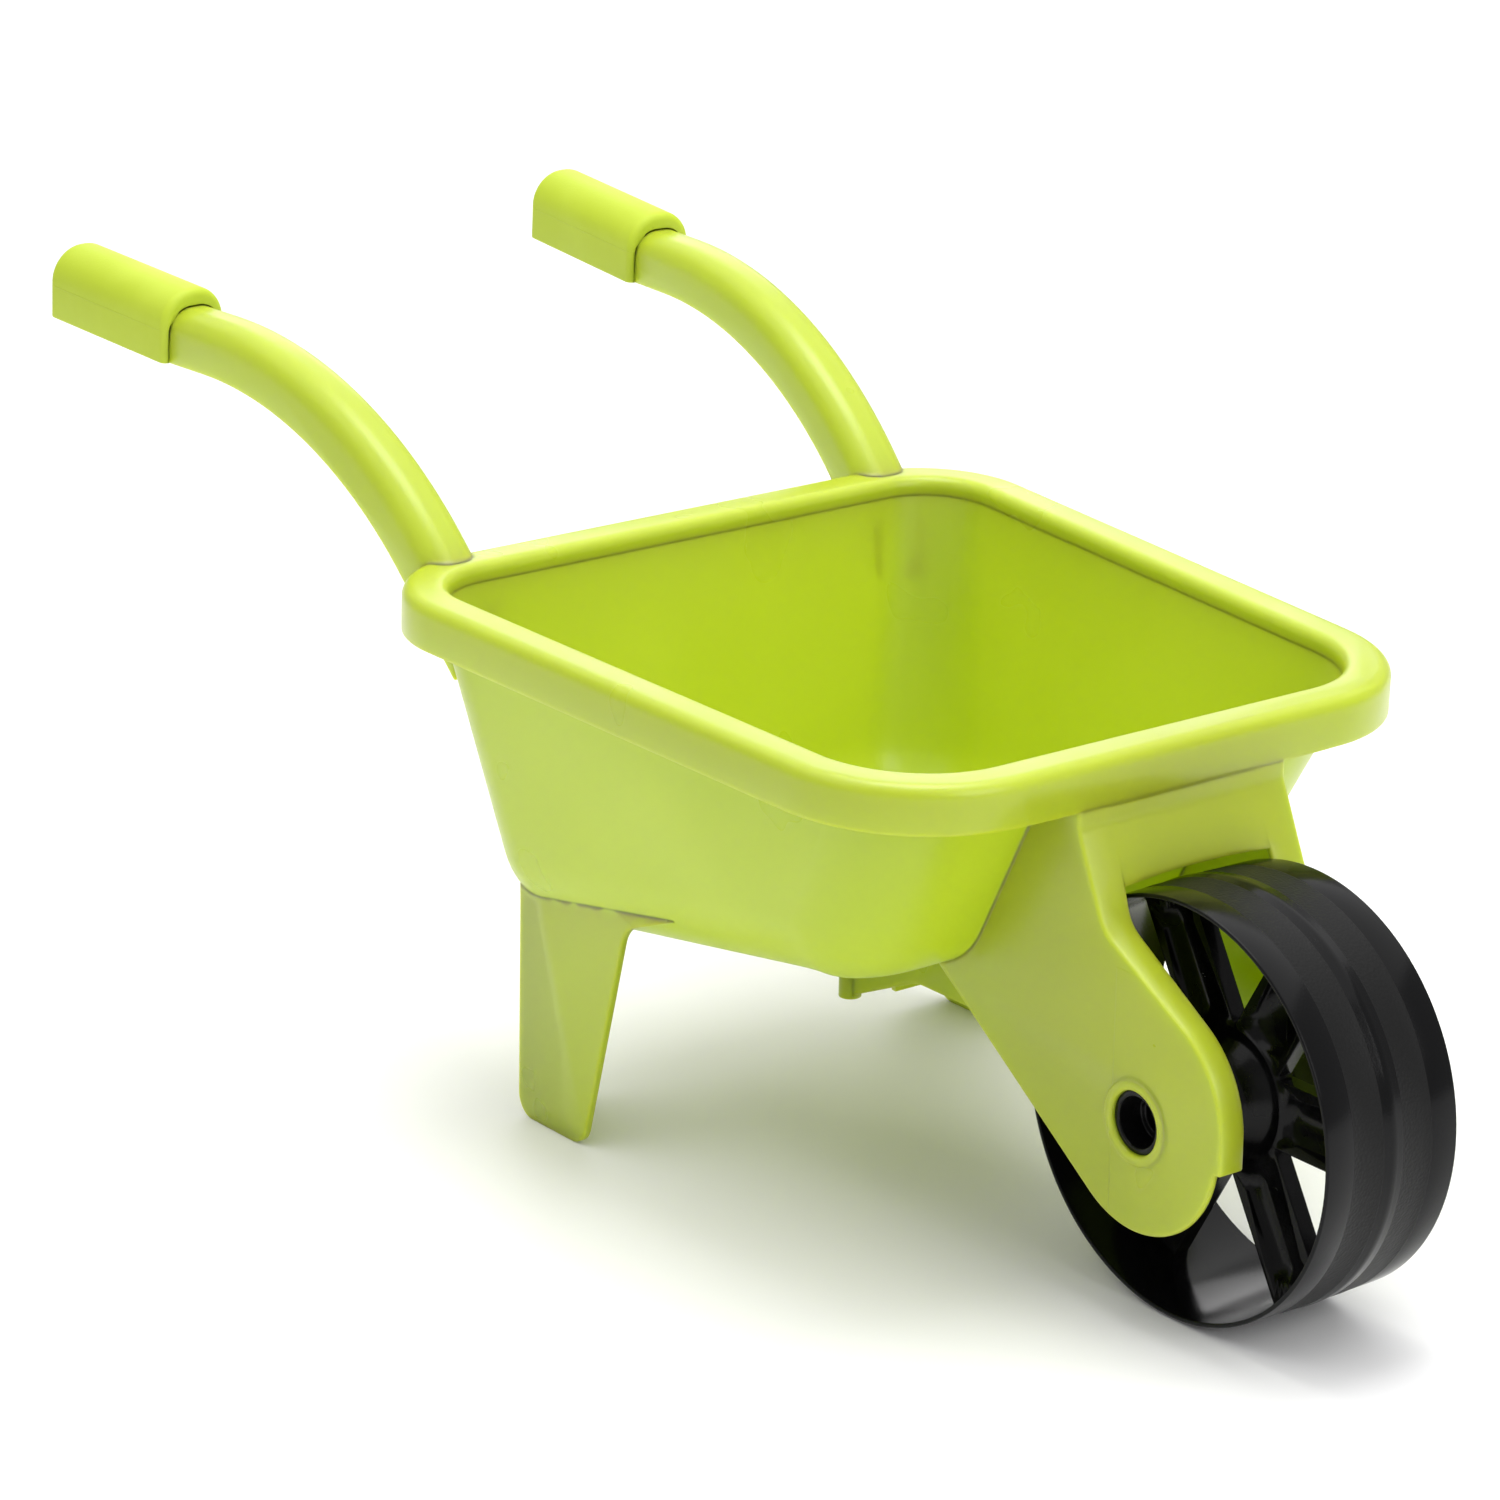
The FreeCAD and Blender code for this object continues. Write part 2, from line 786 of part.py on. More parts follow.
wheel_band = new_body("wheel_band")
band_section = outline(
    wheel_band,
    "band_section",
    "XZ_Plane",
    [
        ("edge_radius - edge_wall", "-wheel_half"),
        ("edge_radius", "-wheel_half"),
        ("tread_radius", "-tread_half"),
        ("tread_radius", "tread_half"),
        ("edge_radius", "wheel_half"),
        ("edge_radius - edge_wall", "wheel_half"),
        ("tread_radius - tread_wall", "tread_half"),
        ("tread_radius - tread_wall", "-tread_half"),
    ],
)
turned(wheel_band, band_section)
on_axle(wheel_band)

spider = new_body("wheel_spider")
spider_section = outline(
    spider,
    "spider_section",
    "XZ_Plane",
    [
        ("spigot_radius", "-hub_half"),
        ("hub_radius", "-hub_half"),
        ("hub_radius", "-hub_flare_start"),
        ("hub_flare", "-hub_flare_half"),
        ("hub_flare", "-web_half"),
        ("tread_radius - tread_wall", "-web_half"),
        ("tread_radius - tread_wall", "web_half"),
        ("hub_flare", "web_half"),
        ("hub_flare", "hub_flare_half"),
        ("hub_radius", "hub_flare_start"),
        ("hub_radius", "hub_half"),
        ("spigot_radius", "hub_half"),
    ],
)
turned(spider, spider_section)
# Both faces of every spoke have a shallow panel with rounded ends.
for side in (1, -1):
    panel_name = "panel_left" if side > 0 else "panel_right"
    panel = outline(
        spider,
        panel_name,
        "XY_Plane",
        [
            ("panel_start", "-panel_half", "panel_round"),
            ("panel_end", "-panel_half", "panel_round"),
            ("panel_end", "panel_half", "panel_round"),
            ("panel_start", "panel_half", "panel_round"),
        ],
        f"{side} * web_half",
    )
    six_times(spider, recess(spider, panel, "panel_depth", side < 0))
# A window between two spokes: its tip is where their edges meet, on the line between them.
window = outline(
    spider,
    "window",
    "XY_Plane",
    [
        ("2 * spoke_half * cos(30)", "2 * spoke_half * sin(30)", "window_tip"),
        (
            "window_end * cos(30) + (window_end - 2 * spoke_half) * tan(30) * sin(30)",
            "window_end * sin(30) - (window_end - 2 * spoke_half) * tan(30) * cos(30)",
            "window_round",
        ),
        (
            "window_end * cos(30) - (window_end - 2 * spoke_half) * tan(30) * sin(30)",
            "window_end * sin(30) + (window_end - 2 * spoke_half) * tan(30) * cos(30)",
            "window_round",
        ),
    ],
)
six_times(spider, pocket(spider, window))
on_axle(spider)

stub = new_body("axle_stub_left")
stub_section = outline(
    stub,
    "stub_section",
    "XZ_Plane",
    [
        ("0", "hub_half - spigot_length"),
        ("spigot_radius", "hub_half - spigot_length"),
        ("spigot_radius", "hub_half"),
        ("journal_radius", "hub_half"),
        ("journal_radius", "journal_end"),
        ("journal_bore", "journal_end"),
        ("journal_bore", "hub_half + journal_floor"),
        ("spigot_bore", "hub_half + journal_floor"),
        ("spigot_bore", "hub_half - spigot_length + spigot_floor"),
        ("0", "hub_half - spigot_length + spigot_floor"),
    ],
)
turned(stub, stub_section)
on_axle(stub)
axle_stub_right = mirrored("axle_stub_right", stub)

# --- checks and export ------------------------------------------------------------------------

NODES = [
    "tub_shell", "rim", "fork_hood", "fork_cheek_left", "fork_cheek_right",
    "handle_arm_left", "handle_arm_right", "grip_left", "grip_right",
    "leg_left", "leg_right", "keel_rib",
    "wheel_band", "wheel_spider", "axle_stub_left", "axle_stub_right",
]

doc.recompute()
for item in doc.Objects:
    wrong = [word for word in ("Invalid", "Error") if word in item.State]
    if wrong:
        raise RuntimeError(f"{item.Name} is {wrong}")
    shape = getattr(item, "Shape", None)
    if shape is not None and (shape.isNull() or not shape.isValid()):
        raise RuntimeError(f"{item.Name} has a bad shape")
for name, before, after in trimmed:
    if doc.getObject(after).Shape.Volume >= doc.getObject(before).Shape.Volume - 1:
        raise RuntimeError(f"{name} takes nothing away")

os.makedirs("parts", exist_ok=True)
for name in NODES:
    node = next(item for item in doc.Objects if item.Label == name and item.TypeId != "App::Plane")
    if len(node.Shape.Solids) != 1:
        raise RuntimeError(f"{name} has {len(node.Shape.Solids)} solids")
    node.Shape.exportStep(f"parts/{name}.step")
    print(name, round(node.Shape.Volume / 1000, 1), "cm3")
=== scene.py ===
import math

import bmesh
import bpy
from mathutils import Matrix, Vector
from mathutils.bvhtree import BVHTree


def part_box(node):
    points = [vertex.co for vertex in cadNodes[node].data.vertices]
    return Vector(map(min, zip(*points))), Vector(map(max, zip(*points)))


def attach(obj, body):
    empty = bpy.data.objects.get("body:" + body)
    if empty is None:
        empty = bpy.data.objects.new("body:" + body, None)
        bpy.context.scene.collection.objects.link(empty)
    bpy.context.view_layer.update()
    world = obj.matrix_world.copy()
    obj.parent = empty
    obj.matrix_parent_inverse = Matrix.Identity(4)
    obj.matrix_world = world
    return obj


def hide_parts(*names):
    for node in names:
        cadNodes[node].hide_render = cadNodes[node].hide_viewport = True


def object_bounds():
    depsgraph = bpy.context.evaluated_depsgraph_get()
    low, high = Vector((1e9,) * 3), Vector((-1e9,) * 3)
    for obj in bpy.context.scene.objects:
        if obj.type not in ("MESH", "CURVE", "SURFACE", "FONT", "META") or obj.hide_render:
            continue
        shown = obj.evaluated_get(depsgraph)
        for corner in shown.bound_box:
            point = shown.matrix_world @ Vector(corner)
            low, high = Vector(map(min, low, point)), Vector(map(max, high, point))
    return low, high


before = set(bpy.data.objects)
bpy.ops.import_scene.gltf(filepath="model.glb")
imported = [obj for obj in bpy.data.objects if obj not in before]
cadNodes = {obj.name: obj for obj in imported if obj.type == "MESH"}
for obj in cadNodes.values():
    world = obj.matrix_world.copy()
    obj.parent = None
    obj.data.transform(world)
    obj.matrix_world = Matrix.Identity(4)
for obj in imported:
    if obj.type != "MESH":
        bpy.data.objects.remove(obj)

mm = 0.001
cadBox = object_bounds()
scene = bpy.context.scene
print("frame loaded:", len(cadNodes), "nodes")


def boxOf(node):
    low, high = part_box(node)
    return Vector(low), Vector(high)


# the axle's line, from the wheel itself
wheelLow, wheelHigh = boxOf("wheel_band")
axle = (wheelLow + wheelHigh) / 2
wheelRadius = (wheelHigh.z - wheelLow.z) / 2
wheelHalf = (wheelHigh.y - wheelLow.y) / 2


def newMaterial(name, settings):
    material = bpy.data.materials.new(name)
    material.use_nodes = True
    shader = material.node_tree.nodes["Principled BSDF"]
    for socket, value in settings.items():
        shader.inputs[socket].default_value = value
    return material, material.node_tree, shader


def fillInputs(tree, node, inputs):
    for socket, value in inputs.items():
        if isinstance(value, bpy.types.NodeSocket):
            tree.links.new(value, node.inputs[socket])
        else:
            node.inputs[socket].default_value = value


def addNode(tree, kind, inputs=None, **options):
    node = tree.nodes.new(kind)
    for option, value in options.items():
        setattr(node, option, value)
    fillInputs(tree, node, inputs or {})
    return node


def mathNode(tree, operation, first, second=0.0, third=0.0):
    inputs = {0: first, 1: second, 2: third}
    return addNode(tree, "ShaderNodeMath", inputs, operation=operation).outputs[0]


def objectPoint(tree):
    return addNode(tree, "ShaderNodeTexCoord").outputs["Object"]


def axesOf(tree, point):
    return addNode(tree, "ShaderNodeSeparateXYZ", {0: point}).outputs


def lengthOf(tree, vector):
    return addNode(tree, "ShaderNodeVectorMath", {0: vector}, operation="LENGTH").outputs["Value"]


def ramp(tree, factor, low, high, fromValue=0.0, toValue=1.0):
    inputs = {
        "Value": factor, "From Min": low, "From Max": high, "To Min": fromValue, "To Max": toValue,
    }
    return addNode(tree, "ShaderNodeMapRange", inputs, interpolation_type="SMOOTHSTEP").outputs[0]


def mixColour(tree, factor, first, second):
    inputs = {0: factor, 6: first, 7: second}
    return addNode(tree, "ShaderNodeMix", inputs, data_type="RGBA").outputs[2]


def newGroup(name, inputs, outputs):
    group = bpy.data.node_groups.new(name, "ShaderNodeTree")
    for label, kind, value in inputs:
        socket = group.interface.new_socket(name=label, in_out="INPUT", socket_type=kind)
        if value is not None:
            socket.default_value = value
    for label, kind in outputs:
        group.interface.new_socket(name=label, in_out="OUTPUT", socket_type=kind)
    entry = group.nodes.new("NodeGroupInput")
    leave = group.nodes.new("NodeGroupOutput")
    return group, entry.outputs, leave.inputs


mouldWall = {
    "grainDetail": 3.0,
    "grainRough": 0.6,
    "flowScale": 22.0,  # how closely the plastic's flow marks lie
    "flowDetail": 2.0,
    "flowRough": 0.5,
    "flowRange": (0.3, 0.7),
}

# fine spark-eroded grain of a mould wall: height for a bump and a change in gloss
grainGroup, grainIn, grainOut = newGroup(
    "mouldGrain",
    [
        ("Point", "NodeSocketVector", None),
        ("Grain size mm", "NodeSocketFloat", 0.8),
        ("Flow", "NodeSocketFloat", 0.3),
        ("Gloss low", "NodeSocketFloat", 0.3),
        ("Gloss high", "NodeSocketFloat", 0.45),
    ],
    [("Height", "NodeSocketFloat"), ("Roughness", "NodeSocketFloat")],
)
grainScale = mathNode(grainGroup, "DIVIDE", 1000.0, grainIn["Grain size mm"])
grainNoise = addNode(
    grainGroup, "ShaderNodeTexNoise",
    {
        "Vector": grainIn["Point"], "Scale": grainScale,
        "Detail": mouldWall["grainDetail"], "Roughness": mouldWall["grainRough"],
    },
).outputs["Fac"]
flowNoise = addNode(
    grainGroup, "ShaderNodeTexNoise",
    {
        "Vector": grainIn["Point"], "Scale": mouldWall["flowScale"],
        "Detail": mouldWall["flowDetail"], "Roughness": mouldWall["flowRough"],
    },
).outputs["Fac"]
flowPart = mathNode(grainGroup, "MULTIPLY", flowNoise, grainIn["Flow"])
grainGroup.links.new(mathNode(grainGroup, "ADD", grainNoise, flowPart), grainOut["Height"])
glossMix = addNode(
    grainGroup, "ShaderNodeMapRange",
    {
        "Value": flowNoise,
        "From Min": mouldWall["flowRange"][0], "From Max": mouldWall["flowRange"][1],
        "To Min": grainIn["Gloss low"], "To Max": grainIn["Gloss high"],
    },
)
grainGroup.links.new(glossMix.outputs[0], grainOut["Roughness"])

scuffShape = {
    "stretch": (1.0, 6.0, 2.0),
    "detail": 4.0,
    "rough": 0.7,
    "range": (0.66, 0.74),  # only the noise's peaks show
}

# thin short scuffs that a used toy picks up, as a mask
scuffGroup, scuffIn, scuffOut = newGroup(
    "scuffMarks",
    [
        ("Point", "NodeSocketVector", None),
        ("Size mm", "NodeSocketFloat", 30.0),
        ("Amount", "NodeSocketFloat", 0.5),
    ],
    [("Mask", "NodeSocketFloat")],
)
scuffScale = mathNode(scuffGroup, "DIVIDE", 1000.0, scuffIn["Size mm"])
stretched = addNode(
    scuffGroup, "ShaderNodeMapping", {"Vector": scuffIn["Point"], "Scale": scuffShape["stretch"]}
).outputs[0]
scuffNoise = addNode(
    scuffGroup, "ShaderNodeTexNoise",
    {
        "Vector": stretched, "Scale": scuffScale,
        "Detail": scuffShape["detail"], "Roughness": scuffShape["rough"],
    },
).outputs["Fac"]
scuffLine = ramp(scuffGroup, scuffNoise, *scuffShape["range"])
scuffGroup.links.new(
    mathNode(scuffGroup, "MULTIPLY", scuffLine, scuffIn["Amount"]), scuffOut["Mask"]
)


def addGrain(tree, point, look):
    glossLow, glossHigh = look["gloss"]
    inputs = {
        "Point": point, "Grain size mm": look["grainMm"], "Flow": look["flow"],
        "Gloss low": glossLow, "Gloss high": glossHigh,
    }
    return addNode(tree, "ShaderNodeGroup", inputs, node_tree=grainGroup).outputs


def addScuffs(tree, point, look):
    inputs = {"Point": point, "Size mm": look["scuffMm"], "Amount": look["scuffAmount"]}
    return addNode(tree, "ShaderNodeGroup", inputs, node_tree=scuffGroup).outputs["Mask"]


def addCloud(tree, point, look, low, high):
    # soft patches of a slightly different tone
    inputs = {"Vector": point, "Scale": look["cloudScale"], "Detail": look["cloudDetail"]}
    cloud = addNode(tree, "ShaderNodeTexNoise", inputs)
    return ramp(tree, cloud.outputs["Fac"], low, high)


def addBump(tree, shader, height, look):
    # the surface's grain, over edges and inside corners that the shading rounds
    edges = addNode(tree, "ShaderNodeBevel", {"Radius": look["edgeMm"] * mm}, samples=6)
    inputs = {
        "Height": height, "Distance": look["bump"], "Strength": 1.0, "Normal": edges.outputs[0],
    }
    bump = addNode(tree, "ShaderNodeBump", inputs)
    tree.links.new(bump.outputs[0], shader.inputs["Normal"])


plasticIor = 1.49

greenLook = {
    "deep": (0.392, 0.468, 0.024, 1.0),
    "light": (0.410, 0.488, 0.028, 1.0),
    "scuff": (0.52, 0.62, 0.08, 1.0),
    "cloudScale": 9.0,
    "cloudDetail": 2.0,
    "cloudRange": (0.35, 0.65),
    "specular": 0.5,
    "glow": 1.0,  # share of the light that enters the plastic and spreads in it
    "glowRadius": (0.9, 1.0, 0.2),
    "glowScale": 0.010,
    "grainMm": 0.55,
    "flow": 1.2,
    "gloss": (0.27, 0.36),
    "scuffMm": 24.0,
    "scuffAmount": 0.06,
    "scuffRough": 0.6,
    "bump": 0.00002,  # metres
    "edgeMm": 2.2,
    "padAhead": -12.5,  # the cheek's faint raised pad starts here, in millimetres from the axle
    "padTop": 52.0,  # and ends this far above it
    "padBack": (-40.0, -35.0),  # the cheek itself begins between these
    "padFace": 13.5,  # its outer face lies just beyond this distance from the hood's end
    "padFade": 0.8,
    "faceFade": 0.1,
    "gateAt": (-77.0, 2.0),  # the oval gate mark on top of the rear rim, in millimetres
    "gateHalf": (2.4, 4.2, 3.0),
    "gateFade": 0.75,
    "markStep": 6.0,  # how far both marks stand above the grain
}


def cheekPad(tree, point):
    # a thin raised pad round the bearing, on the cheeks' outer faces only
    axes = axesOf(tree, point)
    padLine = axle.x + greenLook["padAhead"] * mm
    padTop = axle.z + greenLook["padTop"] * mm
    fade = greenLook["padFade"] * mm
    ahead = ramp(tree, axes["X"], padLine, padLine + fade)
    under = ramp(tree, axes["Z"], padTop, padTop + fade, 1.0, 0.0)
    faceY = boxOf("fork_hood")[1].y + greenLook["padFace"] * mm
    fromMiddle = mathNode(tree, "ABSOLUTE", axes["Y"])
    outside = ramp(tree, fromMiddle, faceY, faceY + greenLook["faceFade"] * mm)
    backFrom, backTo = greenLook["padBack"]
    beyondBack = ramp(tree, axes["X"], axle.x + backFrom * mm, axle.x + backTo * mm)
    onCheek = mathNode(tree, "MULTIPLY", outside, beyondBack)
    return mathNode(tree, "MULTIPLY", mathNode(tree, "MULTIPLY", ahead, under), onCheek)


def gateMark(tree, point):
    # the small oval where the plastic was let into the mould
    gateX, gateY = greenLook["gateAt"]
    reachX, reachY, reachZ = greenLook["gateHalf"]
    gateZ = boxOf("rim")[1].z
    inputs = {
        "Vector": point,
        "Location": (-gateX / reachX, -gateY / reachY, -gateZ / (reachZ * mm)),
        "Scale": (1.0 / (reachX * mm), 1.0 / (reachY * mm), 1.0 / (reachZ * mm)),
    }
    fromGate = lengthOf(tree, addNode(tree, "ShaderNodeMapping", inputs).outputs[0])
    return ramp(tree, fromGate, greenLook["gateFade"], 1.0, 1.0, 0.0)


def greenPlastic():
    settings = {
        "Subsurface Weight": greenLook["glow"],
        "Subsurface Radius": greenLook["glowRadius"],
        "Subsurface Scale": greenLook["glowScale"],
        "IOR": plasticIor,
        "Specular IOR Level": greenLook["specular"],
    }
    material, tree, shader = newMaterial("greenPlastic", settings)
    point = objectPoint(tree)
    grain = addGrain(tree, point, greenLook)
    scuffs = addScuffs(tree, point, greenLook)
    tone = addCloud(tree, point, greenLook, *greenLook["cloudRange"])
    colour = mixColour(tree, tone, greenLook["deep"], greenLook["light"])
    colour = mixColour(tree, scuffs, colour, greenLook["scuff"])
    tree.links.new(colour, shader.inputs["Base Color"])
    rough = mathNode(tree, "MULTIPLY_ADD", scuffs, greenLook["scuffRough"], grain["Roughness"])
    tree.links.new(rough, shader.inputs["Roughness"])
    marks = mathNode(tree, "ADD", cheekPad(tree, point), gateMark(tree, point))
    height = mathNode(tree, "MULTIPLY_ADD", marks, greenLook["markStep"], grain["Height"])
    addBump(tree, shader, height, greenLook)
    return material


gripLook = {
    "colour": (0.445, 0.555, 0.018, 1.0),
    "worn": (0.475, 0.590, 0.030, 1.0),
    "cloudScale": 30.0,
    "cloudDetail": 3.0,
    "cloudRange": (0.45, 0.75),
    "glow": 0.15,
    "glowRadius": (0.8, 1.0, 0.15),
    "glowScale": 0.005,
    "grainMm": 0.9,
    "flow": 0.2,
    "gloss": (0.52, 0.62),
    "bump": 0.00009,  # metres
    "edgeMm": 1.5,
    "seamUp": 13.0,  # the parting line's height above the grip's lowest point, in millimetres
    "seamHalf": 0.35,
    "seamTilt": 0.0524,  # it rises a little to the rear, as the grip does
    "seamStep": 1.5,
    "round": 0.6,
}


def gripPlastic(seamX, seamZ):
    settings = {
        "Subsurface Weight": gripLook["glow"],
        "Subsurface Radius": gripLook["glowRadius"],
        "Subsurface Scale": gripLook["glowScale"],
        "IOR": plasticIor,
    }
    material, tree, shader = newMaterial("gripPlastic", settings)
    point = objectPoint(tree)
    grain = addGrain(tree, point, gripLook)
    tone = addCloud(tree, point, gripLook, *gripLook["cloudRange"])
    colour = mixColour(tree, tone, gripLook["colour"], gripLook["worn"])
    tree.links.new(colour, shader.inputs["Base Color"])
    tree.links.new(grain["Roughness"], shader.inputs["Roughness"])
    # the mould's parting line along each side
    axes = axesOf(tree, point)
    behind = mathNode(tree, "SUBTRACT", axes["X"], seamX)
    level = mathNode(tree, "MULTIPLY_ADD", behind, gripLook["seamTilt"], axes["Z"])
    away = mathNode(tree, "ABSOLUTE", mathNode(tree, "SUBTRACT", level, seamZ))
    seam = ramp(tree, away, 0.0, gripLook["seamHalf"] * mm, gripLook["seamStep"], 0.0)
    addBump(tree, shader, mathNode(tree, "ADD", grain["Height"], seam), gripLook)
    return material


blackLook = {
    "colour": (0.003, 0.003, 0.0033, 1.0),
    "speck": (0.009, 0.009, 0.0095, 1.0),
    "cloudScale": 60.0,
    "cloudDetail": 3.0,
    "cloudRange": (0.4, 0.7),
    "specular": 0.16,
    "grainMm": 1.1,
    "flow": 0.6,
    "gloss": (0.13, 0.20),
    "grainPart": 0.25,
    "scuffMm": 14.0,
    "scuffAmount": 0.35,
    "scuffRough": 0.5,
    "bump": 0.00008,  # metres
    "edgeMm": 0.8,
    "bandColour": (0.006, 0.006, 0.006, 1.0),
    "bandRough": 0.46,
    "bandInner": 4.2,  # the pitted bands' sides, in millimetres from the tread's middle
    "bandOuter": 18.0,
    "bandFade": 0.5,
    "bandUnder": (1.6, 1.2),  # they fade out between these depths, so only the outside is pitted
    "pitScale": 900.0,
}


def treadBands(tree, point):
    # two finely pitted bands on the tread, either side of a smooth centre ridge
    across = mathNode(tree, "ABSOLUTE", axesOf(tree, point)["Y"])
    outward = addNode(
        tree, "ShaderNodeVectorMath", {0: point, 1: tuple(axle)}, operation="SUBTRACT"
    ).outputs[0]
    flat = addNode(
        tree, "ShaderNodeVectorMath", {0: outward, 1: (1.0, 0.0, 1.0)}, operation="MULTIPLY"
    ).outputs[0]
    under, over = blackLook["bandUnder"]
    outside = ramp(tree, lengthOf(tree, flat), wheelRadius - under * mm, wheelRadius - over * mm)
    inner, outer, fade = blackLook["bandInner"], blackLook["bandOuter"], blackLook["bandFade"]
    beyondRidge = ramp(tree, across, inner * mm, (inner + fade) * mm)
    beforeEdge = ramp(tree, across, (outer - fade) * mm, outer * mm, 1.0, 0.0)
    return mathNode(tree, "MULTIPLY", mathNode(tree, "MULTIPLY", beyondRidge, beforeEdge), outside)


def blackPlastic(name, banded):
    settings = {"IOR": plasticIor, "Specular IOR Level": blackLook["specular"]}
    material, tree, shader = newMaterial(name, settings)
    point = objectPoint(tree)
    grain = addGrain(tree, point, blackLook)
    scuffs = addScuffs(tree, point, blackLook)
    rough = mathNode(tree, "MULTIPLY_ADD", scuffs, blackLook["scuffRough"], grain["Roughness"])
    height = mathNode(tree, "MULTIPLY", grain["Height"], blackLook["grainPart"])
    if banded:
        band = treadBands(tree, point)
        pits = addNode(
            tree, "ShaderNodeTexVoronoi", {"Vector": point, "Scale": blackLook["pitScale"]},
            feature="F1",
        ).outputs["Distance"]
        colour = mixColour(tree, band, blackLook["colour"], blackLook["bandColour"])
        bandRough = blackLook["bandRough"]
        rough = addNode(tree, "ShaderNodeMix", {0: band, 2: rough, 3: bandRough}).outputs[0]
        height = addNode(tree, "ShaderNodeMix", {0: band, 2: height, 3: pits}).outputs[0]
    else:
        tone = addCloud(tree, point, blackLook, *blackLook["cloudRange"])
        colour = mixColour(tree, tone, blackLook["colour"], blackLook["speck"])
    tree.links.new(colour, shader.inputs["Base Color"])
    tree.links.new(rough, shader.inputs["Roughness"])
    addBump(tree, shader, height, blackLook)
    return material


floorLook = {
    "dim": (0.94, 0.94, 0.94, 1.0),
    "bright": (0.96, 0.96, 0.96, 1.0),
    "shadeScale": 3.0,
    "rough": 0.7,
    "half": 6.0,  # metres
    "drop": 0.2,  # millimetres under the wheel
}


def floorPaint():
    material, tree, shader = newMaterial("floorPaint", {"Roughness": floorLook["rough"]})
    inputs = {"Vector": objectPoint(tree), "Scale": floorLook["shadeScale"], "Detail": 2.0}
    shade = addNode(tree, "ShaderNodeTexNoise", inputs).outputs["Fac"]
    colour = mixColour(tree, shade, floorLook["dim"], floorLook["bright"])
    tree.links.new(colour, shader.inputs["Base Color"])
    return material


gripLow, gripHigh = boxOf("grip_left")
green = greenPlastic()
gripGreen = gripPlastic(gripHigh.x, gripLow.z + gripLook["seamUp"] * mm)
black = blackPlastic("blackPlastic", False)
blackTread = blackPlastic("blackTread", True)
print("materials made")


def finishPiece(name, bm, cadNames, body, material, smoothAngle=35.0):
    bmesh.ops.recalc_face_normals(bm, faces=bm.faces)
    mesh = bpy.data.meshes.new(name)
    bm.to_mesh(mesh)
    bm.free()
    mesh.materials.append(material)
    mesh.shade_smooth()
    mesh.set_sharp_from_angle(angle=math.radians(smoothAngle))
    piece = bpy.data.objects.new(name, mesh)
    scene.collection.objects.link(piece)
    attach(piece, body)
    if cadNames:
        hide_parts(*cadNames)
    return piece


def mergedCopy(node, near=0.01 * mm):
    bm = bmesh.new()
    bm.from_mesh(cadNodes[node].data)
    bmesh.ops.remove_doubles(bm, verts=bm.verts, dist=near)
    bmesh.ops.dissolve_degenerate(bm, edges=bm.edges, dist=near)
    return bm


def sharpEdges(bm, angle):
    limit = math.radians(angle)
    return [e for e in bm.edges if len(e.link_faces) == 2 and e.calc_face_angle() > limit]


def softened(bm, width, angle=40.0, flat=0.5, keep=None):
    # a moulded edge is never sharp: round every edge of the shape a little, apart from those kept
    bmesh.ops.dissolve_limit(
        bm, angle_limit=math.radians(flat), verts=bm.verts, edges=bm.edges,
        use_dissolve_boundaries=False,
    )
    chosen = [edge for edge in sharpEdges(bm, angle) if keep is None or not keep(edge)]
    bmesh.ops.bevel(
        bm, geom=chosen, offset=width * mm, offset_type="OFFSET", segments=2,
        profile=0.5, affect="EDGES", clamp_overlap=False, material=-1,
    )
    return bm


wheelLook = {
    "steps": 160,
    "wall": 3.0,  # thickness of the band at its middle, in millimetres as all below
    "edgeWall": 1.6,
    "edgeRound": 0.7,
    "edgeDrop": 0.1,
    "innerRun": 0.3,  # the small bevel on the wall's inner edge
    "innerDepth": 0.35,
    "crown": 0.7,  # how far the middle stands above the edges
    "crownHalf": 12.0,
    "shoulder": 2.2,  # how far from the side the crown ends
    "ridge": 0.35,
    "ridgeHalf": 2.4,
    "ridgeTop": 0.6,  # share of the ridge that is nearly level
    "ridgeFall": 0.08,
    "bandStep": 0.12,  # the pitted bands lie a little lower
    "bandRun": 0.4,
    "bandLift": 0.12,
}


def spun(profile, steps):
    # turn a closed outline, given as (radius, along) in metres, about the axle
    bm = bmesh.new()
    points = [bm.verts.new((axle.x + r, axle.y + along, axle.z)) for r, along in profile]
    edges = [bm.edges.new((points[i], points[(i + 1) % len(points)])) for i in range(len(points))]
    bmesh.ops.spin(
        bm, geom=points + edges, cent=axle, axis=(0.0, 1.0, 0.0), dvec=(0.0, 0.0, 0.0),
        angle=math.tau, steps=steps, use_merge=True, use_duplicate=False,
    )
    bmesh.ops.remove_doubles(bm, verts=bm.verts, dist=0.001 * mm)
    return bm


